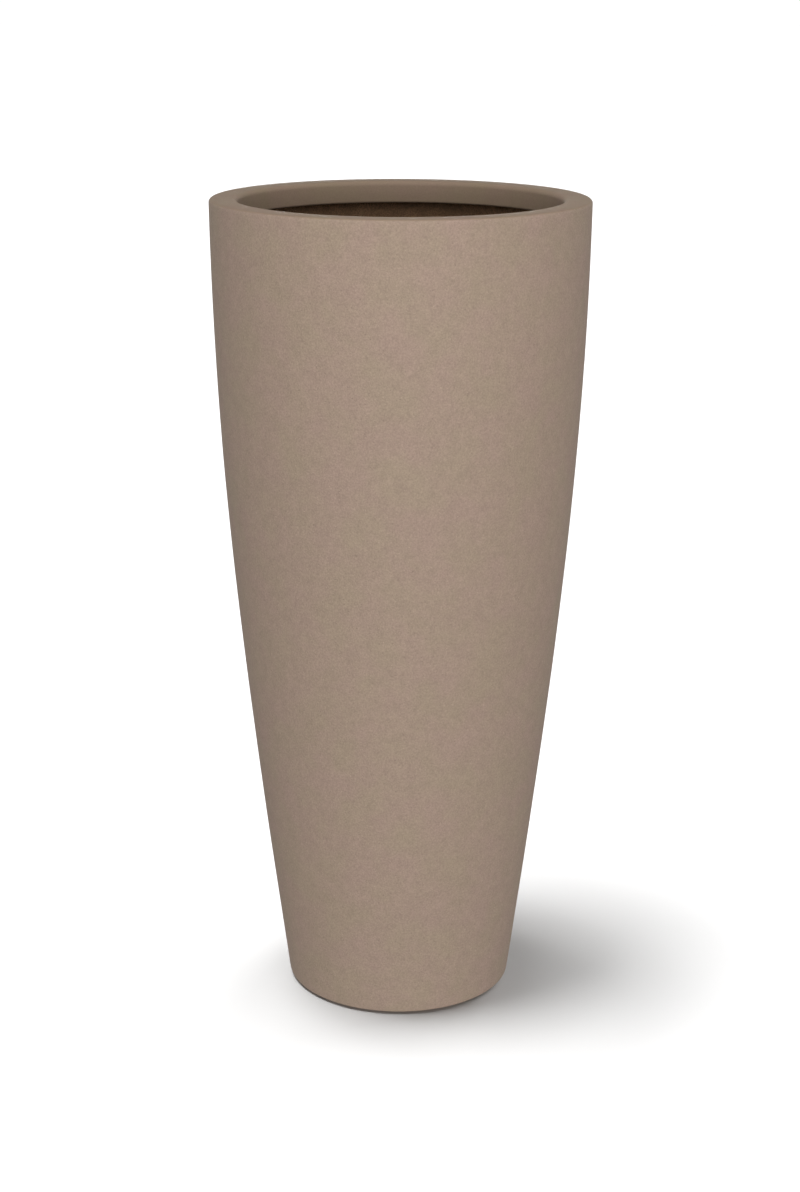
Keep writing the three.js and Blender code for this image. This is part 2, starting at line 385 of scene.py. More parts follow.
def wall_recipe() -> Recipe:
    """The shell by its rule: one curve up the outside, the same curve back down at the wall's thickness, and
    a flange turned in at the foot.

    Returns:
        The recipe. Its inputs are the sizes that steer the curve, the fineness, and both materials.
    """
    recipe = Recipe("wall_by_rule")
    bench, add, numbers = recipe.bench, recipe.bench.add, recipe.numbers
    foot_radius, foot_height = numbers("Foot Radius", "Foot Height")
    foot_lean, foot_reach = numbers("Foot Lean", "Foot Reach")
    rim_radius, rim_height = numbers("Rim Radius", "Rim Height")
    rim_lean, rim_reach = numbers("Rim Lean", "Rim Reach")
    wall, edge_room = numbers("Wall", "Edge Room")
    flange_width, flange_rise = numbers("Flange Width", "Flange Thickness")
    foot_round, cove, edge_round = numbers("Foot Round", "Cove", "Edge Round")
    ripple, ripple_size, ripple_fade = numbers("Ripple", "Ripple Size", "Ripple Fade")
    rows, steps = numbers("Rows", "Steps", kind="Int")
    lining = recipe.given("Lining", "Material")
    curve_steps, corner_steps = 400, 6

    curve = add(
        "GeometryNodeCurvePrimitiveBezierSegment",
        {
            "Resolution": curve_steps,
            "Start": bench.vector(foot_radius, foot_height),
            "Start Handle": bench.vector(foot_radius + foot_lean * foot_reach, foot_height + foot_reach),
            "End Handle": bench.vector(rim_radius - rim_lean * rim_reach, rim_height - rim_reach),
            "End": bench.vector(rim_radius, rim_height),
        },
    )
    edge = add("GeometryNodeCurveLength", {0: curve}) - edge_room
    index = add("GeometryNodeInputIndex")
    last = rows - 1
    is_inner = index > last
    going_up = edge * index / last
    going_down = flange_rise + (edge - flange_rise) * (last - (index - rows)) / last
    along = going_up + is_inner * (going_down - going_up)
    sampled = {"Curves": curve, "Length": along}
    on_curve = add("GeometryNodeSampleCurve", sampled, out="Position", mode="LENGTH")
    on_wall = on_curve - bench.vector(wall * is_inner)
    past_wall = index - 2 * rows
    is_flange = past_wall > -0.5
    on_flange = bench.vector(foot_radius - flange_width, foot_height + flange_rise * (1 - past_wall))
    place = add("GeometryNodeSwitch", {0: is_flange, 1: on_wall, 2: on_flange}, input_type="VECTOR")

    def corner(number: Any, radius: Wire) -> Wire:
        """The radius at one numbered point of the section, and 0 at the others."""
        return radius * add("ShaderNodeMath", {0: index, 1: number, 2: 0.5}, operation="COMPARE")

    rounding = corner(0, foot_round) + corner(2 * rows - 1, cove)
    rounding = rounding + corner(rows, edge_round) + edge_round * is_flange
    line = add("GeometryNodeMeshLine", {"Count": 2 * rows + 2})
    line = add("GeometryNodeSetPosition", {0: line, "Position": place})
    mark = {0: line, "Name": "inner", "Value": is_inner}
    line = add("GeometryNodeStoreNamedAttribute", mark, data_type="FLOAT")
    line = add("GeometryNodeMeshToCurve", {0: line})
    line = add("GeometryNodeSetSplineCyclic", {0: line, "Cyclic": True})
    corners = {"Curve": line, "Count": corner_steps, "Radius": rounding, "Limit Radius": True}
    section = add("GeometryNodeFilletCurve", corners, mode="POLY")
    shell = swept_round(bench, section, steps)

    here = add("GeometryNodeInputPosition")
    heights = {0: here.part("Z"), 1: rim_height - ripple_fade, 2: rim_height, 3: 1, 4: 0}
    fade = add("ShaderNodeMapRange", heights)
    lumps = bench.noise(here, ripple_size, detail=1.0)
    push = outward(bench, here) * (ripple * fade * (lumps - 0.5))
    shell = add("GeometryNodeSetPosition", {0: shell, "Offset": push})
    return recipe.end(smoothed(bench, shell), [(raw_side(bench), lining)])


def turned_recipe() -> Recipe:
    """Turns an outline about the Z axis. The outline's points say how far each corner is rounded, and how far
    a hand-laid edge wanders there.

    Returns:
        The recipe. Its inputs are the fineness, and the size and seed of the wander.
    """
    recipe = Recipe("turned_outline")
    bench, add = recipe.bench, recipe.bench.add
    steps, corner_steps = recipe.numbers("Steps", "Corner Steps", kind="Int")
    wander_rate, wander_seed = recipe.numbers("Wander Rate", "Wander Seed")

    rounding = add("GeometryNodeInputNamedAttribute", {"Name": "round"}, data_type="FLOAT")
    outline = add("GeometryNodeMeshToCurve", {0: recipe.start})
    corners = {"Curve": outline, "Count": corner_steps, "Radius": rounding, "Limit Radius": True}
    section = add("GeometryNodeFilletCurve", corners, mode="POLY")
    swept = swept_round(bench, section, steps)

    here = add("GeometryNodeInputPosition")
    away = outward(bench, here)
    loose = add("GeometryNodeInputNamedAttribute", {"Name": "loose"}, data_type="FLOAT_VECTOR")
    along = away * wander_rate + bench.vector(z=wander_seed)
    amount = (bench.noise(along, 1.0, detail=3.0, Roughness=0.7) - 0.5) * 2
    push = away * (loose.part("X") * amount) + bench.vector(z=loose.part("Z") * amount)
    swept = add("GeometryNodeSetPosition", {0: swept, "Offset": push})
    merged = add("GeometryNodeMergeByDistance", {0: swept, "Distance": SEAM})
    return recipe.end(smoothed(bench, merged))


def set_round_recipe() -> Recipe:
    """Sets equal copies of the start mesh round the Z axis.

    Returns:
        The recipe. Its inputs are the count, the circle's radius and the first copy's angle.
    """
    recipe = Recipe("set_round")
    bench, add = recipe.bench, recipe.bench.add
    count = recipe.given("Count", "Int")
    radius, first = recipe.numbers("Circle Radius", "First Angle")
    angle = first + add("GeometryNodeInputIndex") * (FULL_TURN / count)
    cosine = add("ShaderNodeMath", {0: angle}, operation="COSINE")
    sine = add("ShaderNodeMath", {0: angle}, operation="SINE")
    points = add("GeometryNodeMeshLine", {"Count": count})
    on_circle = bench.vector(radius * cosine, radius * sine)
    points = add("GeometryNodeSetPosition", {0: points, "Position": on_circle})
    copies = {"Points": points, "Instance": recipe.start, "Rotation": bench.vector(z=angle)}
    return recipe.end(add("GeometryNodeInstanceOnPoints", copies))


def drilled_recipe() -> Recipe:
    """Cuts holes through the start mesh, all with one cutter, on a circle.

    Returns:
        The recipe. Its inputs are the cutter, the count of holes and the circle's radius.
    """
    recipe = Recipe("drilled_round")
    bench, add = recipe.bench, recipe.bench.add
    cutter = add("GeometryNodeObjectInfo", {"Object": recipe.given("Cutter", "Object")}, out="Geometry")
    count, radius = recipe.given("Count", "Int"), recipe.given("Circle Radius")
    circle = add("GeometryNodeMeshCircle", {"Vertices": count, "Radius": radius})
    cutters = add("GeometryNodeInstanceOnPoints", {"Points": circle, "Instance": cutter})
    cutters = add("GeometryNodeRealizeInstances", {0: cutters})
    cut = {0: recipe.start, 1: cutters}
    drilled = add("GeometryNodeMeshBoolean", cut, operation="DIFFERENCE", solver="EXACT")
    merged = add("GeometryNodeMergeByDistance", {0: drilled, "Distance": SEAM})
    return recipe.end(smoothed(bench, merged))


def ringed_recipe() -> Recipe:
    """Joins an upright wire ring to the start mesh.

    Returns:
        The recipe. Its inputs are the ring's height, its radius and the wire's radius.
    """
    recipe = Recipe("pull_ring")
    bench, add = recipe.bench, recipe.bench.add
    height, ring_radius, wire_radius = recipe.numbers("Height", "Ring Radius", "Wire Radius")
    ring_steps, wire_steps = 64, 20
    path = add("GeometryNodeCurvePrimitiveCircle", {"Resolution": ring_steps, 4: ring_radius}, mode="RADIUS")
    wire = add("GeometryNodeCurvePrimitiveCircle", {"Resolution": wire_steps, 4: wire_radius}, mode="RADIUS")
    ring = add("GeometryNodeCurveToMesh", {"Curve": path, "Profile Curve": wire})
    upright = {"Geometry": ring, "Translation": bench.vector(z=height), "Rotation": (QUARTER_TURN, 0.0, 0.0)}
    ring = add("GeometryNodeTransform", upright)
    joined = add("GeometryNodeMeshBoolean", {1: [recipe.start, ring]}, operation="UNION", solver="EXACT")
    return recipe.end(smoothed(bench, joined))


def strands_recipe() -> Recipe:
    """Scatters short, bent glass strands over the raw inside of a wall, half sunk in its resin.

    Returns:
        The recipe. Its inputs are the heights between which strands lie, how many there are to a square
        metre, the size of one strand and the seed.
    """
    recipe = Recipe("chopped_strands")
    bench, add = recipe.bench, recipe.bench.add
    low, high, density = recipe.numbers("Low", "High", "Strand Density")
    length, width = recipe.numbers("Strand Length", "Strand Width")
    relief, bend = recipe.numbers("Strand Relief", "Strand Bend")
    seed = recipe.given("Strand Seed", "Int")
    shortest, longest = 0.5, 1.3  # strands, as shares of the given length
    pieces_long = 6
    curl = 0.6  # size of one bend, as a share of a strand's length
    corner = 0.6  # rounding of a strand's edges, as a share of its relief

    height = add("GeometryNodeInputPosition").part("Z")
    band = raw_side(bench) * (height > low) * (height < high)
    scattered = {"Mesh": recipe.start, "Selection": band, "Density": density, "Seed": seed}
    points = add("GeometryNodeDistributePointsOnFaces", scattered, distribute_method="RANDOM")
    turns = {2: 0.0, 3: FULL_TURN, "Seed": seed}
    spin = add("FunctionNodeRandomValue", turns, out=1, data_type="FLOAT")
    turn = add("FunctionNodeAxisAngleToRotation", {"Axis": (0.0, 0.0, 1.0), "Angle": spin})
    facing = {"Rotation": points.other("Rotation"), "Rotate By": turn}
    facing = add("FunctionNodeRotateRotation", facing, rotation_space="LOCAL")
    stretches = {2: shortest, 3: longest, "Seed": seed + 1}
    stretch = add("FunctionNodeRandomValue", stretches, out=1, data_type="FLOAT")

    start, step = bench.vector(length * -0.5), bench.vector(length / pieces_long)
    spine = add("GeometryNodeMeshLine", {"Count": pieces_long + 1, "Start Location": start, "Offset": step})
    spine = add("GeometryNodeMeshToCurve", {0: spine})
    profile = add("GeometryNodeCurvePrimitiveQuadrilateral", {0: relief * 2, 1: width}, mode="RECTANGLE")
    rounded = {"Curve": profile, "Count": 1, "Radius": relief * corner}
    profile = add("GeometryNodeFilletCurve", rounded, mode="POLY")
    strand = add("GeometryNodeCurveToMesh", {"Curve": spine, "Profile Curve": profile, "Fill Caps": True})
    lift = {0: strand, "Name": "lift", "Value": add("GeometryNodeInputPosition").part("Z")}
    strand = add("GeometryNodeStoreNamedAttribute", lift, data_type="FLOAT")
    laid_out = bench.vector(stretch, 1.0, 1.0)
    copies = {"Points": points, "Instance": strand, "Rotation": facing, "Scale": laid_out}
    strands = add("GeometryNodeInstanceOnPoints", copies)
    strands = add("GeometryNodeRealizeInstances", {0: strands})

    here = add("GeometryNodeInputPosition")
    swirl = {"Vector": here, "Scale": 1 / (length * curl), "Detail": 0.0}
    lumps = add("ShaderNodeTexNoise", swirl, out="Color")
    bent = here + (lumps - (0.5, 0.5, 0.5)) * bend
    wall = add("GeometryNodeSeparateGeometry", {0: recipe.start, "Selection": raw_side(bench)}, domain="FACE")
    nearest = {0: wall, "Sample Position": bent}
    on_wall = add("GeometryNodeProximity", nearest, out="Position", target_element="FACES")
    normals = {"Mesh": wall, "Value": add("GeometryNodeInputNormal"), "Sample Position": bent}
    facing_in = add("GeometryNodeSampleNearestSurface", normals, data_type="FLOAT_VECTOR")
    lifted = add("GeometryNodeInputNamedAttribute", {"Name": "lift"}, data_type="FLOAT")
    laid = add("GeometryNodeSetPosition", {0: strands, "Position": on_wall + facing_in * lifted})
    return recipe.end(smoothed(bench, laid))


# ---------------------------------------------------------------- finishes

SEED_STEP = (1.37, 2.11, 0.83)  # how far apart two patterns of neighbouring seeds are read
SPECK_CORE = 0.35  # the share of a speck's radius inside its soft edge


@dataclass(frozen=True)
class Specks:
    """Round specks scattered over a surface.

    Attributes:
        spacing: How far apart the places are where a speck could be.
        radius: The radius of a speck.
        share: How many of those places have one, from 0 to 1.
        light: How many times as light as the plain surface a speck is.
        cover: How well it covers the surface, from 0 to 1.
        rise: How far it stands out, as a share of the surface's relief, or sinks in if negative.
    """

    spacing: float
    radius: float
    share: float
    light: float
    cover: float
    rise: float = 0.0


class Paint(Bench):
    """A material under construction, with the patterns that the finishes share."""

    def __init__(self, name: str) -> None:
        """Starts an empty material."""
        self.material = bpy.data.materials.new(name)
        self.material.use_nodes = True
        self.material.node_tree.nodes.clear()
        super().__init__(self.material.node_tree)
        self.place = self.add("ShaderNodeTexCoord", out="Object")

    def elsewhere(self, seed: float) -> Wire:
        """The place, moved far off so that a pattern read there has nothing to do with the last one."""
        return self.place + tuple(seed * step for step in SEED_STEP)

    def clouds(self, size: float, seed: float, detail: float = 2.0, roughness: float = 0.5) -> Wire:
        """Soft variation from 0 to 1.

        Args:
            size: The size of its lumps.
            seed: Which pattern of them.
            detail: How many finer layers it has.
            roughness: How strong the finer layers are, from 0 to 1.

        Returns:
            The variation.
        """
        return self.noise(self.elsewhere(seed), size, detail=detail, Roughness=roughness)

    def specks(self, kind: Specks, seed: float) -> Wire:
        """Scatters specks.

        Args:
            kind: What they are like.
            seed: Which scatter of them.

        Returns:
            1 in a speck and 0 elsewhere, with a soft edge.
        """
        cells = self.add("ShaderNodeTexVoronoi", {"Vector": self.elsewhere(seed), "Scale": 1 / kind.spacing})
        chosen = cells.other("Color").part("X") < kind.share
        size = kind.radius / kind.spacing
        return chosen * self.ramp(cells, size, SPECK_CORE * size)

    def speckled(self, ground: Wire, where: Wire, kind: Specks, plain: Colour, strength: float = 1.0) -> Wire:
        """Lays specks over a colour.

        Args:
            ground: The colour with its pattern so far.
            where: 1 in a speck and 0 elsewhere.
            kind: What they are like.
            plain: The colour without its pattern.
            strength: How strongly they show, from 0 to 1.

        Returns:
            The colour with the specks in it.
        """
        return self.blend(where * (kind.cover * strength), ground, shade(plain, kind.light))

    def blend(self, factor: Any, first: Any, second: Any) -> Wire:
        """A colour between two, by a factor from 0 to 1."""
        first, second = ((*c, 1.0) if isinstance(c, tuple) else c for c in (first, second))
        return self.add("ShaderNodeMix", {0: factor, 6: first, 7: second}, out=2, data_type="RGBA")

    def relief(self, height: Wire, depth: float, strength: float = 1.0) -> Wire:
        """A bumped surface.

        Args:
            height: How high each place is, from 0 to 1.
            depth: The length that 1 stands for.
            strength: How much of the bump shows, from 0 to 1.

        Returns:
            The bumped normal.
        """
        sockets = {"Strength": strength, "Distance": depth, "Height": height}
        return self.add("ShaderNodeBump", sockets, out="Normal")

    def dress(self, sockets: dict[str, Any]) -> bpy.types.Material:
        """Ends the material in one glossy-over-diffuse shader.

        Args:
            sockets: What the shader's inputs get, by name.

        Returns:
            The finished material.
        """
        shader = self.add("ShaderNodeBsdfPrincipled", sockets)
        output = self.tree.nodes.new("ShaderNodeOutputMaterial")
        self.plug(shader, output.inputs["Surface"])
        return self.material


def shade(colour: Colour, factor: float) -> Colour:
    """A colour made lighter or darker."""
    return tuple(channel * factor for channel in colour)


def tinted(colour: Colour, tint: Colour) -> Colour:
    """A colour with each channel scaled."""
    return tuple(channel * scale for channel, scale in zip(colour, tint))


@dataclass(frozen=True)
class Coat:
    """Matte taupe paint with fine sand in it, faintly pinker or more olive where it was sprayed thicker.

    Attributes:
        name: The material's name.
        colour: The paint's colour.
        roughness: How matte it is, from 0 to 1.
        gloss: How much light it mirrors, as a share of what clear varnish would at 0.5.
        sand_depth: Height of the sand.
        sand_contrast: How much lighter and darker the grains are.
        grit: How strongly the coarser grits (painted lighter) and pits (painted darker) show, from 0 to 1.
        pink: What scales the colour's channels where it is pinker.
        olive: The same where it is more olive.
        sand: Size of the sand's grains.
        grits: The coarser grains, painted lighter than the paint: painted light on them.
        pits: The small holes between them, painted darker than the paint: painted shade in them.
        patch: Size of the pinker and more olive patches.
        mottle: Size of the fainter, finer patches.
        mottle_contrast: Their contrast, as a share of the sand's.
    """

    name: str
    colour: Colour
    roughness: float
    gloss: float
    sand_depth: float
    sand_contrast: float
    grit: float
    pink: Colour = (1.022, 0.985, 1.012)
    olive: Colour = (0.981, 1.0075, 0.945)
    sand: float = 2.1 * MM
    # Grits get painted light (lighter than the paint) and pits painted shade (darker), besides their bumps.
    grits: Specks = Specks(5 * MM, 1.1 * MM, share=0.35, light=1.6, cover=0.28, rise=0.4)
    pits: Specks = Specks(5 * MM, 1.1 * MM, share=0.35, light=0.45, cover=0.3, rise=-0.5)
    patch: float = 48 * MM
    mottle: float = 12 * MM
    mottle_contrast: float = 0.24

    def material(self) -> bpy.types.Material:
        """Builds the material."""
        paint = Paint(self.name)
        sand = paint.clouds(self.sand, seed=1, detail=3.0, roughness=0.7)
        patches = paint.ramp(paint.clouds(self.patch, seed=2, detail=4.0, roughness=0.6), 0.25, 0.75)
        mottle = paint.clouds(self.mottle, seed=3)
        pits, grits = paint.specks(self.pits, seed=4), paint.specks(self.grits, seed=5)
        base = paint.blend(patches, tinted(self.colour, self.olive), tinted(self.colour, self.pink))
        mottled = (mottle - 0.5) * (self.sand_contrast * self.mottle_contrast)
        colour = base * (1 + (sand - 0.5) * self.sand_contrast + mottled)
        # Painted shade in the pits, then painted light on the grits.
        colour = paint.speckled(colour, pits, self.pits, self.colour, self.grit)
        colour = paint.speckled(colour, grits, self.grits, self.colour, self.grit)
        height = sand + grits * (self.grits.rise * self.grit) + pits * (self.pits.rise * self.grit)
        return paint.dress(
            {
                "Base Color": colour,
                "Roughness": self.roughness + (patches - 0.5) * 0.08 + (sand - 0.5) * 0.2,
                "Normal": paint.relief(height, self.sand_depth),
                "Specular IOR Level": self.gloss,
            }
        )


@dataclass(frozen=True)
class Laminate:
    """Uncoated glass fibre in resin: chopped strands lying every way, drowned in brown resin.

    Attributes:
        name: The material's name.
        colour: The resin's colour.
        strand: Length of a strand.
        strand_width: Its width.
        strand_light: How much lighter than the resin a strand is.
        strand_depth: How far it stands out.
        directions: How many ways the strands lie.
        roughness: How matte it is, from 0 to 1.
        gloss: How much the pools of resin shine, from 0 to 1.
        pool: Size of the pools, where resin hides the strands.
        pool_cover: How well they hide them, from 0 to 1.
        pool_shades: The resin's shade between the pools and in them.
        flecks: The pale flecks in the resin.
        lump: Size of the resin's lumps.
    """

    name: str
    colour: Colour
    strand: float = 30 * MM
    strand_width: float = 1.1 * MM
    strand_light: float = 2.4
    strand_depth: float = 0.25 * MM
    directions: int = 5
    roughness: float = 0.5
    gloss: float = 0.08
    pool: float = 28 * MM
    pool_cover: float = 0.65
    pool_shades: tuple[float, float] = (1.08, 0.88)
    flecks: Specks = Specks(7 * MM, 0.9 * MM, share=0.22, light=2.2, cover=0.6)
    lump: float = 6 * MM

    def strands(self, paint: Paint) -> Wire:
        """Streaks in a few directions, from fine noise stretched along each.

        Args:
            paint: The material that they are for.

        Returns:
            1 in a strand and 0 between them.
        """
        found = None
        for number in range(self.directions):
            turn = HALF_TURN * (number + 0.3) / self.directions
            turns = (turn, turn * 1.7, turn * 0.6)  # unlike each other, so that no two ways are parallel
            laid = {"Vector": paint.elsewhere(10.0 + number), "Rotation": turns}
            turned = paint.add("ShaderNodeMapping", laid)
            stretched = turned * (1 / self.strand, 1 / self.strand_width, 1 / self.strand_width)
            streak = paint.ramp(paint.noise(stretched, 1.0, detail=0.5), 0.6, 0.68)
            found = streak if found is None else paint.math("MAXIMUM", found, streak)
        return found

    def material(self) -> bpy.types.Material:
        """Builds the material."""
        paint = Paint(self.name)
        strands = self.strands(paint)
        pools = paint.ramp(paint.clouds(self.pool, seed=20, detail=3.0), 0.35, 0.68)
        flecks = paint.specks(self.flecks, seed=21)
        resin = paint.blend(pools, *(shade(self.colour, level) for level in self.pool_shades))
        shown = strands * (1 - pools * self.pool_cover)
        colour = paint.blend(shown, resin, shade(self.colour, self.strand_light))
        colour = paint.speckled(colour, flecks, self.flecks, self.colour)
        height = shown + (1 - pools) * 0.35 + paint.clouds(self.lump, seed=22) * 0.8
        return paint.dress(
            {
                "Base Color": colour,
                "Roughness": self.roughness + shown * 0.18 - pools * 0.12,
                "Coat Weight": pools * self.gloss,
                "Coat Roughness": 0.25,
                "Specular IOR Level": 0.1,
                "Normal": paint.relief(height, self.strand_depth),
            }
        )


@dataclass(frozen=True)
class Moulded:
    """Black rubber or plastic from a mould: an even skin with fine pores and a bloom of dust.

    Attributes:
        name: The material's name.
        colour: The skin's colour.
        roughness: How matte it is, from 0 to 1.
        pore: Size of the pores.
        pore_depth: Their depth.
        bloom: How strongly the dust shows, from 0 to 1.
        bloom_size: Size of the dusty patches.
        bloom_light: How much lighter than the skin the dust is.
        scuffs: The pale scuffs on it.
        gloss: How much light the skin mirrors, where clear varnish is 0.5.
    """

    name: str
    colour: Colour
    roughness: float
    pore: float = 0.7 * MM
    pore_depth: float = 0.06 * MM
    bloom: float = 0.35
    bloom_size: float = 14 * MM
    bloom_light: float = 2.6
    scuffs: Specks = Specks(5 * MM, 0.7 * MM, share=0.3, light=4.0, cover=0.5)
    gloss: float = 0.45

    def material(self) -> bpy.types.Material:
        """Builds the material."""
        paint = Paint(self.name)
        pores = paint.clouds(self.pore, seed=30)
        bloom = paint.ramp(paint.clouds(self.bloom_size, seed=31, detail=4.0), 0.45, 0.75)
        scuffs = paint.specks(self.scuffs, seed=32)
        colour = paint.blend(bloom * self.bloom, self.colour, shade(self.colour, self.bloom_light))
        colour = paint.speckled(colour, scuffs, self.scuffs, self.colour)
        return paint.dress(
            {
                "Base Color": colour,
                "Roughness": self.roughness + bloom * 0.12 + (pores - 0.5) * 0.1,
                "Normal": paint.relief(pores, self.pore_depth),
                "Specular IOR Level": self.gloss,
            }
        )


WALL_COAT = Coat(
    name="textured_coat",
    colour=(0.371, 0.277, 0.216),
    roughness=0.74,
    gloss=0.3,
    sand_depth=0.3 * MM,
    sand_contrast=0.8,
    grit=1.0,
)
RIM_COAT = Coat(
    name="rim_coat",
    colour=(0.357, 0.262, 0.19),
    roughness=0.62,
    gloss=0.2,
    sand_depth=0.1 * MM,
    sand_contrast=0.35,
    grit=0.4,
)
RAW_LAMINATE = Laminate("raw_laminate", (0.1, 0.062, 0.036), strand_light=2.2)
# The strips' laminate is the raw laminate three times as light: painted light on the band of wall seen under
# the skirt.
LIT_STRIP_LAMINATE = Laminate("strip_laminate", (0.3, 0.182, 0.104), strand_light=1.6)
SHELF_LAMINATE = Laminate("shelf_laminate", (0.085, 0.058, 0.038), strand_light=1.6, strand_depth=0.12 * MM)
BUNG_RUBBER = Moulded("bung_rubber", (0.014, 0.013, 0.012), roughness=0.66)
PAD_RUBBER = Moulded("pad_rubber", (0.014, 0.013, 0.012), roughness=0.78, bloom=0.6)
DRAIN_PLASTIC = Moulded("drain_plastic", (0.02, 0.02, 0.023), roughness=0.42, bloom=0.2)


# ---------------------------------------------------------------- turning

WANDER_RATE = 9.0  # how often a hand-laid edge wanders out and back on its way round


@dataclass(frozen=True)
class Corner:
    """One corner of a turned outline.

    Attributes:
        r: Distance from the axis.
        z: Height.
        round: Radius that the corner is rounded to.
        loose: How far a hand-laid edge wanders here, outward and upward.
    """

    r: float
    z: float
    round: float = 0.0
    loose: tuple[float, float] = (0.0, 0.0)


class Fineness(Enum):
    """How many steps go round a turned piece, and round each of its corners."""

    LARGE = (192, 6)
    STRIP = (384, 3)
    SMALL = (72, 5)


class Workshop:
    """Makes turned pieces."""

    def __init__(self) -> None:
        """Builds the turning recipe once."""
        self.turning = turned_recipe()

    def turn(
        self,
        name: str,
        corners: Sequence[Corner],
        finish: bpy.types.Material,
        fineness: Fineness = Fineness.LARGE,
        seed: float = 0.0,
    ) -> bpy.types.Object:
        """Turns an outline about the Z axis.

        Args:
            name: The piece's name.
            corners: The outline, anticlockwise as seen with the axis on its left. One that starts and ends
                on the axis stays open, and any other is closed.
            finish: The piece's material.
            fineness: How finely it is made.
            seed: Which of the hand-laid edges it gets.

        Returns:
            The piece.
        """
        mesh = bpy.data.meshes.new(name)
        count = len(corners)
        on_axis = corners[0].r == 0 and corners[-1].r == 0
        edges = [(i, i + 1) for i in range(count - 1)] + ([] if on_axis else [(count - 1, 0)])
        mesh.from_pydata([(corner.r, corner.z, 0.0) for corner in corners], edges, [])
        rounds = mesh.attributes.new("round", "FLOAT", "POINT")
        rounds.data.foreach_set("value", [corner.round for corner in corners])
        loose = mesh.attributes.new("loose", "FLOAT_VECTOR", "POINT")
        offsets = [(corner.loose[0], 0.0, corner.loose[1]) for corner in corners]
        loose.data.foreach_set("vector", [length for offset in offsets for length in offset])
        steps, corner_steps = fineness.value
        values = {
            "Steps": steps,
            "Corner Steps": corner_steps,
            "Wander Rate": WANDER_RATE,
            "Wander Seed": seed,
            "Finish": finish,
        }
        return self.turning.make(name, mesh, values)


def hand_over(piece: bpy.types.Object, body: str, slot: str, nodes: Sequence[str] = ()) -> None:
    """Gives a finished piece to the frame and reports it.

    Args:
        piece: The piece, with its place in its mesh.
        body: The body that it rides on.
        slot: The record's material slot for its finish.
        nodes: The CAD nodes that it stands for.
    """
    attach(piece, body)
    if nodes:
        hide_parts(*nodes)
    LOG.info("%s: %d faces, rides on %s, finish %s", piece.name, len(piece.data.polygons), body, slot)


# ---------------------------------------------------------------- the planter's pieces

STRIP_EDGE = 0.4 * MM  # rounding of a laid strip's edge where it meets its surface
STRIP_BACK = 2.2 * MM  # rounding of the same edge where it is free


@dataclass(frozen=True)
class Extent:
    """How far a turned CAD node reaches: outward, down and up."""

    radius: float
    low: float
    high: float

    @classmethod
    def of(cls, node: str) -> "Extent":
        """Reads the node's box from the frame."""
        low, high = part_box(node)
        return cls(high[0], low[2], high[2])


@dataclass(frozen=True)
class WallCurve:
    """The wall's outer curve: its lean at the foot and at the rim, and how far each lean steers it."""

    foot_radius: float = 142 * MM
    foot_lean: float = 0.1335
    foot_reach: float = 516 * MM
    rim_lean: float = 0.0095
    rim_reach: float = 250 * MM
    foot_height: float = Extent.of("outer_shell").low
    rim_radius: float = Extent.of("rim_collar").radius
    rim_height: float = Extent.of("rim_collar").high

    def point(self, share: float) -> tuple[float, float]:
        """One point of the curve.

        Args:
            share: The curve's parameter, from 0 at the foot to 1 at the rim.

        Returns:
            The point's radius and height.
        """
        radii = (
            self.foot_radius,
            self.foot_radius + self.foot_lean * self.foot_reach,
            self.rim_radius - self.rim_lean * self.rim_reach,
            self.rim_radius,
        )
        heights = (
            self.foot_height,
            self.foot_height + self.foot_reach,
            self.rim_height - self.rim_reach,
            self.rim_height,
        )
        rest = 1 - share
        weights = (rest**3, 3 * rest**2 * share, 3 * rest * share**2, share**3)
        return (
            sum(weight * radius for weight, radius in zip(weights, radii)),
            sum(weight * height for weight, height in zip(weights, heights)),
        )

    def radius_at(self, height: float) -> float:
        """Finds the radius of the wall's outside by halving.

        Args:
            height: The height to find it at.

        Returns:
            The radius.
        """
        low, high = 0.0, 1.0
        halvings = 40
        for _ in range(halvings):
            middle = (low + high) / 2
            if self.point(middle)[1] < height:
                low = middle
            else:
                high = middle
        return self.point(low)[0]


@dataclass
class Shell:
    """The wall with its turned-in flange, and the strands that stand out of its raw inside."""

    curve: WallCurve
    wall: float = 5 * MM
    edge_room: float = 8 * MM
    flange_width: float = 34 * MM
    flange_thickness: float = 6 * MM
    foot_round: float = 3 * MM
    cove: float = 4 * MM
    edge_round: float = 0.4 * MM
    ripple: float = 0.7 * MM
    ripple_size: float = 160 * MM
    ripple_fade: float = 120 * MM
    rows: int = 110
    steps: int = 192
    strand_length: float = 30 * MM
    strand_width: float = 0.9 * MM
    strand_relief: float = 0.22 * MM
    strand_bend: float = 9 * MM
    strand_density: float = 1100.0
    strand_seed: int = 7

    def inside(self, height: float) -> float:
        """Radius of the wall's inside at a height."""
        return self.curve.radius_at(height) - self.wall

    def build(self, coat: bpy.types.Material, lining: bpy.types.Material) -> None:
        """Makes the wall and its strands, and hands them over.

        Args:
            coat: The paint outside.
            lining: The raw laminate inside, which the strands are of too.
        """
        sizes = as_inputs(self, self.curve)
        both = {"Finish": coat, "Lining": lining}
        wall = wall_recipe().make("wall", bpy.data.meshes.new("wall"), {**sizes, **both})
        ends = {
            "Low": Extent.of("base_joint_strip").high + self.strand_length,
            "High": Extent.of("collar_joint_strip").low - self.strand_length,
        }
        strands = strands_recipe().make("wall_strands", wall.data.copy(), {**sizes, **ends, "Finish": lining})
        hand_over(wall, "planter", "textured_coat", ["outer_shell"])
        hand_over(strands, "planter", "raw_laminate")


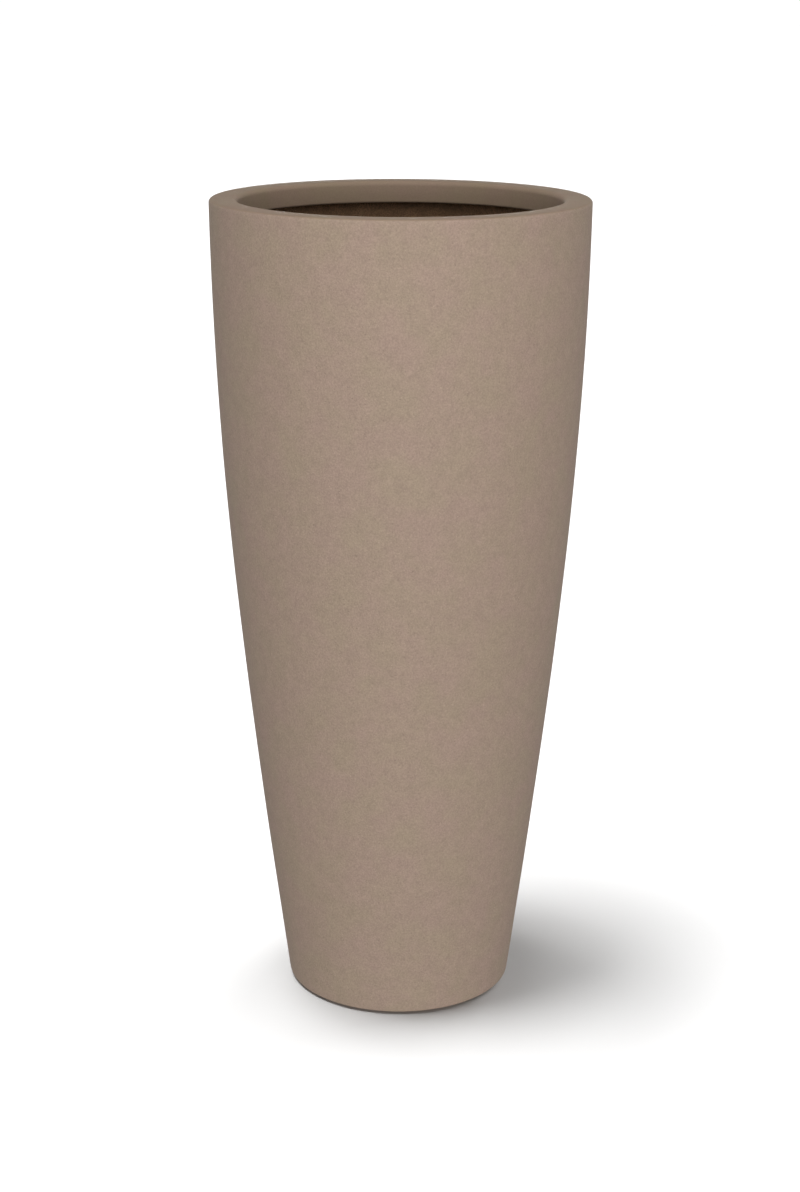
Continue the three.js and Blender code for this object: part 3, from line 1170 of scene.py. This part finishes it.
@dataclass
class Rim:
    """The rim collar, and the laminated strip that bonds it to the wall from inside."""

    shell: Shell
    width: float = 34 * MM
    thickness: float = 7 * MM
    outer_round: float = 4 * MM
    inner_round: float = 6 * MM
    skirt_depth: float = 27.5 * MM
    skirt_thickness: float = 6 * MM
    spigot_thickness: float = 4 * MM
    strip_thickness: float = 3 * MM
    bond: float = 0.3 * MM

    def build(
        self,
        workshop: Workshop,
        wall_coat: bpy.types.Material,
        laminate: bpy.types.Material,
        lit_strips: bpy.types.Material,
    ) -> None:
        """Makes the collar and its strip, and hands them over.

        Args:
            workshop: Where they are turned.
            wall_coat: The wall's paint, which goes up over the lip.
            laminate: The raw laminate of the collar's back.
            lit_strips: The strips' laminate, the raw laminate made three times as light: painted light on the
                band under the skirt.
        """
        collar = Extent.of("rim_collar")
        curve = self.shell.curve
        top, outer = collar.high, collar.radius
        mouth = outer - self.width
        lip = top - self.shell.edge_room
        skirt = top - self.skirt_depth
        underside = top - self.thickness
        spigot_outer = self.shell.inside(collar.low) - self.bond
        spigot_inner = spigot_outer - self.spigot_thickness
        skirt_round = self.skirt_thickness / 2 * 0.98  # short of half, so that both corners have room
        rim = workshop.turn(
            "rim",
            [
                Corner(curve.radius_at(lip), lip),
                Corner(outer, top, self.outer_round),
                Corner(mouth, top, self.inner_round),
                Corner(mouth, skirt, skirt_round),
                Corner(mouth + self.skirt_thickness, skirt, skirt_round),
                Corner(mouth + self.skirt_thickness, underside, 1.5 * MM),
                Corner(spigot_inner, underside, 2 * MM),
                Corner(spigot_inner, collar.low, 0.8 * MM),
                Corner(spigot_outer, collar.low, 0.8 * MM),
                Corner(self.shell.inside(lip) - self.bond, lip),
            ],
            RIM_COAT.material(),
        )
        self.finish_sides(rim.data, wall_coat, laminate)
        hand_over(rim, "planter", "rim_coat", ["rim_collar"])

        strip = Extent.of("collar_joint_strip")
        step = collar.low - self.bond
        face = spigot_inner - self.bond
        wall_low = self.shell.inside(strip.low) - self.bond
        thickness = self.strip_thickness
        loose_low, loose_high = (0.0, 3 * MM), (0.0, 2 * MM)
        # The collar's strip takes the lighter copy of the raw laminate: painted light on the band under the
        # skirt.
        laid = workshop.turn(
            "collar_strip",
            [
                Corner(wall_low, strip.low, STRIP_EDGE, loose_low),
                Corner(self.shell.inside(step) - self.bond, step, 1.0 * MM),
                Corner(face, step, 1.5 * MM),
                Corner(face, strip.high, STRIP_EDGE, loose_high),
                Corner(face - thickness, strip.high, STRIP_BACK, loose_high),
                Corner(face - thickness, step - thickness, 6 * MM),
                Corner(wall_low - thickness, strip.low, STRIP_BACK, loose_low),
            ],
            lit_strips,
            Fineness.STRIP,
            seed=3.0,
        )
        hand_over(laid, "planter", "raw_laminate", ["collar_joint_strip"])

    def finish_sides(
        self, mesh: bpy.types.Mesh, wall_coat: bpy.types.Material, laminate: bpy.types.Material
    ) -> None:
        """Carries the wall's coat up over the lip, which hides the joint, and leaves the back raw.

        Args:
            mesh: The collar's mesh.
            wall_coat: The wall's material.
            laminate: The raw inside's material.
        """
        collar = Extent.of("rim_collar")
        lip_starts = collar.radius - self.outer_round
        back_starts = collar.radius - self.width + self.skirt_thickness / 2
        back_ends = collar.high - self.thickness + 0.5 * MM
        mesh.materials.append(wall_coat)
        mesh.materials.append(laminate)
        for face in mesh.polygons:
            radius = face.center.xy.length
            if radius > lip_starts and abs(face.normal.z) < math.sin(QUARTER_TURN / 2):
                face.material_index = 1
            elif radius > back_starts and face.center.z < back_ends:
                face.material_index = 2


@dataclass
class Base:
    """What closes the foot: the plate, the strip round its corner, the drain with its bung, and the pads."""

    shell: Shell
    plate_fall: float = 3 * MM
    seat_radius: float = 27 * MM
    strip_thickness: float = 3 * MM
    strip_reach: float = 34 * MM
    strip_cove: float = 12 * MM
    bore_radius: float = 12.5 * MM
    sleeve_wall: float = 3.2 * MM
    flange_thickness: float = 3 * MM
    bung_gap: float = 0.3 * MM
    bung_taper: float = 1.2 * MM
    head_thickness: float = 5 * MM
    ring_radius: float = 9 * MM
    ring_wire: float = 2 * MM
    pad_count: int = 4
    bond: float = 0.3 * MM

    def build(self, workshop: Workshop, laminate: bpy.types.Material, lit_strips: bpy.types.Material) -> None:
        """Makes the pieces of the base and hands them over.

        Args:
            workshop: Where they are turned.
            laminate: The plate's laminate.
            lit_strips: The strip's laminate, the raw laminate made three times as light: painted light.
        """
        self.build_plate(workshop, laminate, lit_strips)
        self.build_drain(workshop)
        self.build_pads(workshop)

    def build_plate(
        self, workshop: Workshop, laminate: bpy.types.Material, lit_strips: bpy.types.Material
    ) -> None:
        """Makes the plate, which falls to the drain, and the strip laid round its corner.

        Args:
            workshop: Where they are turned.
            laminate: The plate's laminate.
            lit_strips: The strip's laminate, the raw laminate made three times as light: painted light.
        """
        plate = Extent.of("base_plate")
        hole = self.bore_radius + self.sleeve_wall + self.bond
        low_top = plate.high - self.plate_fall
        base = workshop.turn(
            "base",
            [
                Corner(hole, plate.low, 0.3 * MM),
                Corner(plate.radius, plate.low, 0.5 * MM),
                Corner(plate.radius, plate.high, 0.5 * MM),
                Corner(self.seat_radius, low_top, 40 * MM),
                Corner(hole, low_top, 0.8 * MM),
            ],
            laminate,
        )
        hand_over(base, "planter", "raw_laminate", ["base_plate"])

        strip = Extent.of("base_joint_strip")
        slope = self.plate_fall / (plate.radius - self.seat_radius)
        reach = plate.radius - self.strip_reach
        floor_in = plate.high - slope * self.strip_reach + self.bond
        floor_out = plate.high + self.bond
        thickness = self.strip_thickness
        lean = self.shell.curve.foot_lean
        low_face, high_face = (self.shell.inside(height) - self.bond for height in (floor_out, strip.high))
        cove_face = self.shell.inside(floor_out + thickness) - self.bond - thickness
        loose_in, loose_up = (4 * MM, 4 * MM * slope), (5 * MM * lean, 5 * MM)
        laid = workshop.turn(
            "base_strip",
            [
                Corner(reach, floor_in, STRIP_EDGE, loose_in),
                Corner(plate.radius, floor_out, 1 * MM),
                Corner(low_face, floor_out, 2 * MM),
                Corner(high_face, strip.high, STRIP_EDGE, loose_up),
                Corner(high_face - thickness, strip.high, STRIP_BACK, loose_up),
                Corner(cove_face, floor_out + thickness, self.strip_cove),
                Corner(reach, floor_in + thickness, STRIP_BACK, loose_in),
            ],
            lit_strips,
            Fineness.STRIP,
            seed=8.0,
        )
        hand_over(laid, "planter", "raw_laminate", ["base_joint_strip"])

    def build_drain(self, workshop: Workshop) -> None:
        """Makes the flanged sleeve and the bung in it.

        Args:
            workshop: Where they are turned.
        """
        sleeve = Extent.of("drain_sleeve")
        outer = self.bore_radius + self.sleeve_wall
        flange_low = sleeve.high - self.flange_thickness
        drain = workshop.turn(
            "drain",
            [
                Corner(self.bore_radius, sleeve.low, 0.5 * MM),
                Corner(outer, sleeve.low, 1 * MM),
                Corner(outer, flange_low, 0.3 * MM),
                Corner(sleeve.radius, flange_low, 0.3 * MM),
                Corner(sleeve.radius, sleeve.high, 1.3 * MM),
                Corner(self.bore_radius, sleeve.high, 0.6 * MM),
            ],
            DRAIN_PLASTIC.material(),
            Fineness.SMALL,
        )
        hand_over(drain, "planter", "drain_plastic", ["drain_sleeve"])

        bung = Extent.of("drain_bung")
        head_low = sleeve.high + self.bond
        head_high = head_low + self.head_thickness
        stem = self.bore_radius - self.bung_gap
        border, hollow = 4 * MM, 0.6 * MM
        rubber = BUNG_RUBBER.material()
        plug = workshop.turn(
            "bung",
            [
                Corner(0.0, bung.low),
                Corner(stem - self.bung_taper, bung.low, 1.2 * MM),
                Corner(stem, head_low, 0.2 * MM),
                Corner(bung.radius, head_low, 0.8 * MM),
                Corner(bung.radius, head_high, 1.8 * MM),
                Corner(bung.radius - border, head_high, hollow),
                Corner(bung.radius - border - hollow, head_high - hollow, hollow),
                Corner(0.0, head_high - hollow),
            ],
            rubber,
            Fineness.SMALL,
        )
        ring = {
            "Height": bung.high - self.ring_radius - self.ring_wire,
            "Ring Radius": self.ring_radius,
            "Wire Radius": self.ring_wire,
            "Finish": rubber,
        }
        hand_over(ringed_recipe().make("bung", mesh_alone(plug), ring), "bung", "bung_rubber", ["drain_bung"])

    def build_pads(self, workshop: Workshop) -> None:
        """Makes the rubber pads, all on one circle.

        Args:
            workshop: Where the first is turned.
        """
        low, high = (Vector(corner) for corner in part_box("foot_pad_1"))
        centre = (low + high) / 2
        radius, height = (high.x - low.x) / 2, high.z
        rubber = PAD_RUBBER.material()
        pad = workshop.turn(
            "pad",
            [
                Corner(0.0, 0.0),
                Corner(radius, 0.0, 0.5 * MM),
                Corner(radius, height, 0.5 * MM),
                Corner(0.0, height),
            ],
            rubber,
            Fineness.SMALL,
        )
        ring = {
            "Count": self.pad_count,
            "Circle Radius": math.hypot(centre.x, centre.y),
            "First Angle": math.atan2(centre.y, centre.x),
            "Finish": rubber,
        }
        nodes = [f"foot_pad_{number + 1}" for number in range(self.pad_count)]
        hand_over(set_round_recipe().make("pads", mesh_alone(pad), ring), "planter", "pad_rubber", nodes)


@dataclass
class Shelf:
    """The lift-out shelf and the lugs on the wall that carry it."""

    shell: Shell
    thickness: float = 6 * MM
    rim_thickness: float = 5 * MM
    edge_round: float = 2.5 * MM
    hand_hole: float = 35 * MM
    hand_hole_depth: float = 15 * MM
    weep_hole: float = 4 * MM
    weep_count: int = 12
    lug_width: float = 44 * MM
    lug_nose: float = 9 * MM
    lug_seat: float = 19 * MM
    lug_count: int = 4
    lug_bevel: float = 2.5 * MM
    lug_slices: int = 8
    lug_rows: int = 6

    def build(self, workshop: Workshop, laminate: bpy.types.Material) -> None:
        """Makes the shelf and the lugs, and hands them over.

        Args:
            workshop: Where the shelf is turned.
            laminate: The lugs' laminate.
        """
        self.build_shelf(workshop)
        self.build_lugs(laminate)

    def build_shelf(self, workshop: Workshop) -> None:
        """Makes the dished shelf, with its hand hole turned and its weep holes drilled.

        Args:
            workshop: Where the shelf and the cutter are turned.
        """
        shelf = Extent.of("planting_shelf")
        finish = SHELF_LAMINATE.material()
        underside = shelf.high - self.thickness
        collar = self.hand_hole + self.rim_thickness
        rim = shelf.radius - self.rim_thickness
        tray = workshop.turn(
            "shelf",
            [
                Corner(shelf.radius, shelf.low, 1 * MM),
                Corner(shelf.radius, shelf.high, self.edge_round),
                Corner(self.hand_hole, shelf.high, self.edge_round),
                Corner(self.hand_hole, shelf.high - self.hand_hole_depth, 1 * MM),
                Corner(collar, shelf.high - self.hand_hole_depth, 1 * MM),
                Corner(collar, underside, 2 * MM),
                Corner(rim, underside, 4 * MM),
                Corner(rim, shelf.low, 1 * MM),
            ],
            finish,
        )
        flare = 1 * MM
        beyond = 2 * MM
        middle = shelf.high - self.thickness / 2
        reach = self.thickness / 2
        cutter = workshop.turn(
            "weep_cutter",
            [
                Corner(0.0, middle - reach - beyond),
                Corner(self.weep_hole + flare, middle - reach - beyond),
                Corner(self.weep_hole + flare, middle - reach),
                Corner(self.weep_hole, middle - reach + flare),
                Corner(self.weep_hole, middle + reach - flare),
                Corner(self.weep_hole + flare, middle + reach),
                Corner(self.weep_hole + flare, middle + reach + beyond),
                Corner(0.0, middle + reach + beyond),
            ],
            finish,
            Fineness.SMALL,
        )
        lug_nose = shelf.radius - self.lug_seat
        holes = {
            "Cutter": cutter,
            "Count": self.weep_count,
            "Circle Radius": (collar + lug_nose) / 2,
            "Finish": finish,
        }
        drilled = drilled_recipe().make("shelf", mesh_alone(tray), holes)
        bpy.data.objects.remove(cutter)
        hand_over(drilled, "shelf", "shelf_laminate", ["planting_shelf"])

    def build_lugs(self, laminate: bpy.types.Material) -> None:
        """Makes the lugs, all on one mesh: one is laid up against the wall's curve, then set round.

        Args:
            laminate: Their laminate.
        """
        lug = placed("lug", self.lug_mesh())
        bevel = lug.modifiers.new("rounded edges", "BEVEL")
        bevel.width = self.lug_bevel
        bevel.segments = 4
        bevel.limit_method = "ANGLE"
        start = mesh_alone(settled(lug))
        start.polygons.foreach_set("use_smooth", [True] * len(start.polygons))
        ring = {"Count": self.lug_count, "Circle Radius": 0.0, "First Angle": 0.0, "Finish": laminate}
        nodes = [f"shelf_lug_{number + 1}" for number in range(self.lug_count)]
        hand_over(set_round_recipe().make("lugs", start, ring), "planter", "raw_laminate", nodes)

    def lug_mesh(self) -> bpy.types.Mesh:
        """One lug on +X: a wedge in section, with a flat seat and a back that sinks into the wall.

        Returns:
            Its mesh, closed, before its edges are rounded.
        """
        low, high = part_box("shelf_lug_1")
        shelf = Extent.of("planting_shelf")
        nose = shelf.radius - self.lug_seat
        foot, top = low[2], high[2]
        sink = self.shell.wall / 2
        toe = 3 * MM
        points: list[tuple[float, float, float]] = []
        for i in range(self.lug_slices + 1):
            y = self.lug_width * (i / self.lug_slices - 0.5)
            points += [(nose, y, top), (nose, y, top - self.lug_nose)]
            points.append((self.shell.inside(foot) - toe, y, foot))
            for k in range(self.lug_rows + 1):
                z = foot + (top - foot) * k / self.lug_rows
                points.append((math.sqrt((self.shell.inside(z) + sink) ** 2 - y * y), y, z))
        around = 3 + self.lug_rows + 1
        faces = [tuple(range(around)), tuple(range(len(points) - 1, len(points) - 1 - around, -1))]
        for i in range(self.lug_slices):
            for k in range(around):
                a, b = i * around + k, i * around + (k + 1) % around
                faces.append((a, a + around, b + around, b))
        mesh = bpy.data.meshes.new("lug")
        mesh.from_pydata(points, [], faces)
        mesh.update()
        return mesh


# ---------------------------------------------------------------- studio


@dataclass(frozen=True)
class FloorSun:
    """A light for the floor alone, far off.

    Attributes:
        strength: What the floor would get if it faced the light.
        breadth: How wide the light is, in degrees: a wide one casts a soft shadow.
        elevation: Its height over the horizon, in degrees.
        azimuth: Where it stands, in degrees anticlockwise from +X.
    """

    strength: float
    breadth: float
    elevation: float
    azimuth: float


@dataclass(frozen=True)
class Softbox:
    """A flat soft light for the planter alone: its power, width and height, its place, and what it faces."""

    power: float
    width: float
    height: float
    place: tuple[float, float, float]
    aim: tuple[float, float, float]


@dataclass
class Studio:
    """The camera at the photographed angle, a pale floor, and soft light.

    The floor has suns of its own, so that its white and its shadow can be set apart from the planter's light.
    """

    camera_place: tuple[float, float, float] = (0.0006, -2.5775, 1.2747)
    pitch: float = 0.2897
    roll: float = 0.003
    lens: float = 64.84
    sensor: float = 36.0
    floor_half: float = 60.0
    backdrop_radius: float = 40.0
    floor_grey: float = 0.5
    sky_zenith: float = 0.03
    sky_horizon: float = 0.68
    sky_nadir: float = 0.27
    floor_suns: tuple[FloorSun, ...] = (
        FloorSun(strength=1.42, breadth=10, elevation=90, azimuth=0),
        FloorSun(strength=3.8, breadth=20, elevation=77, azimuth=195),
        FloorSun(strength=0.84, breadth=10, elevation=77, azimuth=135),
        FloorSun(strength=2.55, breadth=48, elevation=25, azimuth=45),
    )
    softboxes: tuple[Softbox, ...] = (
        Softbox(power=34.0, width=0.8, height=1.2, place=(0.0, -4.2, 0.6), aim=(0.0, 0.0, 0.5)),
        Softbox(power=24.0, width=0.8, height=1.2, place=(0.9, -4.2, 0.6), aim=(0.0, 0.0, 0.5)),
        Softbox(power=17.0, width=0.8, height=1.2, place=(0.6, -4.0, 3.6), aim=(0.0, 0.0, 0.7)),
        Softbox(power=23.5, width=1.6, height=1.6, place=(0.0, -1.2, 3.1), aim=(0.0, 0.0, 0.8)),
        Softbox(power=4.5, width=1.6, height=1.6, place=(0.0, 0.8, 3.1), aim=(0.0, 0.0, 0.8)),
        Softbox(power=42.0, width=1.2, height=1.2, place=(0.0, 4.2, 0.6), aim=(0.0, 0.0, 0.5)),
    )

    def build(self) -> None:
        """Makes the whole studio."""
        self.build_camera()
        floor = self.build_floor()
        self.build_backdrop()
        self.build_world()
        self.build_lights(floor)
        bpy.context.scene.view_settings.view_transform = "Standard"

    def build_camera(self) -> None:
        """The camera, looking down on the rim from the front."""
        data = bpy.data.cameras.new("camera")
        data.lens = self.lens
        data.sensor_width = self.sensor
        camera = placed("camera", data)
        tilt = Matrix.Rotation(QUARTER_TURN - self.pitch, 4, "X") @ Matrix.Rotation(self.roll, 4, "Z")
        camera.matrix_world = Matrix.Translation(self.camera_place) @ tilt
        bpy.context.scene.camera = camera

    def build_floor(self) -> bpy.types.Object:
        """Lays a wide pale floor.

        Returns:
            The floor.
        """
        half = self.floor_half
        mesh = bpy.data.meshes.new("floor")
        corners = [(-half, -half, 0), (half, -half, 0), (half, half, 0), (-half, half, 0)]
        mesh.from_pydata(corners, [], [(0, 1, 2, 3)])
        floor = placed("floor", mesh)
        pale = (self.floor_grey, self.floor_grey, self.floor_grey, 1.0)
        mesh.materials.append(Paint("pale_floor").dress({"Base Color": pale, "Roughness": 0.9}))
        floor.visible_diffuse = False
        floor.visible_glossy = False
        floor.visible_shadow = False
        return floor

    def build_backdrop(self) -> None:
        """Sets a white ball round the room, which is seen but neither lights nor shades."""
        ball = bmesh.new()
        bmesh.ops.create_uvsphere(ball, u_segments=48, v_segments=24, radius=self.backdrop_radius)
        mesh = bpy.data.meshes.new("backdrop")
        ball.to_mesh(mesh)
        ball.free()
        backdrop = placed("backdrop", mesh)
        black, white = (0.0, 0.0, 0.0, 1.0), (1.0, 1.0, 1.0, 1.0)
        glow = {"Base Color": black, "Emission Color": white, "Emission Strength": 1.0}
        mesh.materials.append(Paint("white_backdrop").dress(glow))
        mesh.materials[0].cycles.emission_sampling = "NONE"
        backdrop.visible_diffuse = False
        backdrop.visible_glossy = False
        backdrop.visible_shadow = False

    def build_world(self) -> None:
        """A sky of soft white that is brightest at the horizon."""
        world = bpy.data.worlds.new("soft_room")
        world.use_nodes = True
        world.node_tree.nodes.clear()
        bench = Bench(world.node_tree)
        height = bench.add("ShaderNodeTexCoord", out="Generated").part("Z")
        above = bench.ramp(height, 0.0, 1.0, self.sky_horizon, self.sky_zenith)
        below = bench.ramp(height, -1.0, 0.0, self.sky_nadir, self.sky_horizon)
        level = above * (height > 0) + below * (1 - (height > 0))
        sky = bench.add("ShaderNodeBackground", {"Color": (1.0, 1.0, 1.0, 1.0), "Strength": level})
        output = world.node_tree.nodes.new("ShaderNodeOutputWorld")
        bench.plug(sky, output.inputs["Surface"])
        bpy.context.scene.world = world

    def build_lights(self, floor: bpy.types.Object) -> None:
        """Lights the floor by its suns, and everything else by the softboxes.

        Args:
            floor: The floor.
        """
        only_floor = bpy.data.collections.new("floor_alone")
        only_floor.objects.link(floor)
        all_but_floor = bpy.data.collections.new("all_but_the_floor")
        all_but_floor.objects.link(floor)
        all_but_floor.collection_objects[0].light_linking.link_state = "EXCLUDE"
        for number, sun in enumerate(self.floor_suns):
            data = bpy.data.lights.new(f"floor_sun_{number + 1}", "SUN")
            data.energy = sun.strength
            data.angle = math.radians(sun.breadth)
            elevation, azimuth = math.radians(sun.elevation), math.radians(sun.azimuth)
            level = math.cos(elevation)
            place = (level * math.cos(azimuth), level * math.sin(azimuth), math.sin(elevation))
            self.lamp(data, place, (0.0, 0.0, 0.0)).light_linking.receiver_collection = only_floor
        for number, box in enumerate(self.softboxes):
            data = bpy.data.lights.new(f"softbox_{number + 1}", "AREA")
            data.shape = "RECTANGLE"
            data.size = box.width
            data.size_y = box.height
            data.energy = box.power
            self.lamp(data, box.place, box.aim).light_linking.receiver_collection = all_but_floor

    @staticmethod
    def lamp(
        data: bpy.types.Light, place: tuple[float, float, float], aim: tuple[float, float, float]
    ) -> bpy.types.Object:
        """Sets up a light.

        Args:
            data: The light itself.
            place: Where it hangs.
            aim: What it faces.

        Returns:
            The light's object.
        """
        lamp = placed(data.name, data)
        facing = (Vector(aim) - Vector(place)).to_track_quat("-Z", "Y")
        lamp.matrix_world = Matrix.Translation(place) @ facing.to_matrix().to_4x4()
        return lamp


# ---------------------------------------------------------------- main


def main() -> None:
    """Builds the studio and every piece in order."""
    Studio().build()
    workshop = Workshop()
    raw = RAW_LAMINATE.material()
    lit_strips = LIT_STRIP_LAMINATE.material()
    wall_coat = WALL_COAT.material()
    shell = Shell(WallCurve())
    shell.build(wall_coat, raw)
    Rim(shell).build(workshop, wall_coat, raw, lit_strips)
    Base(shell).build(workshop, raw, lit_strips)
    Shelf(shell).build(workshop, raw)


if __name__ == "__main__":
    main()
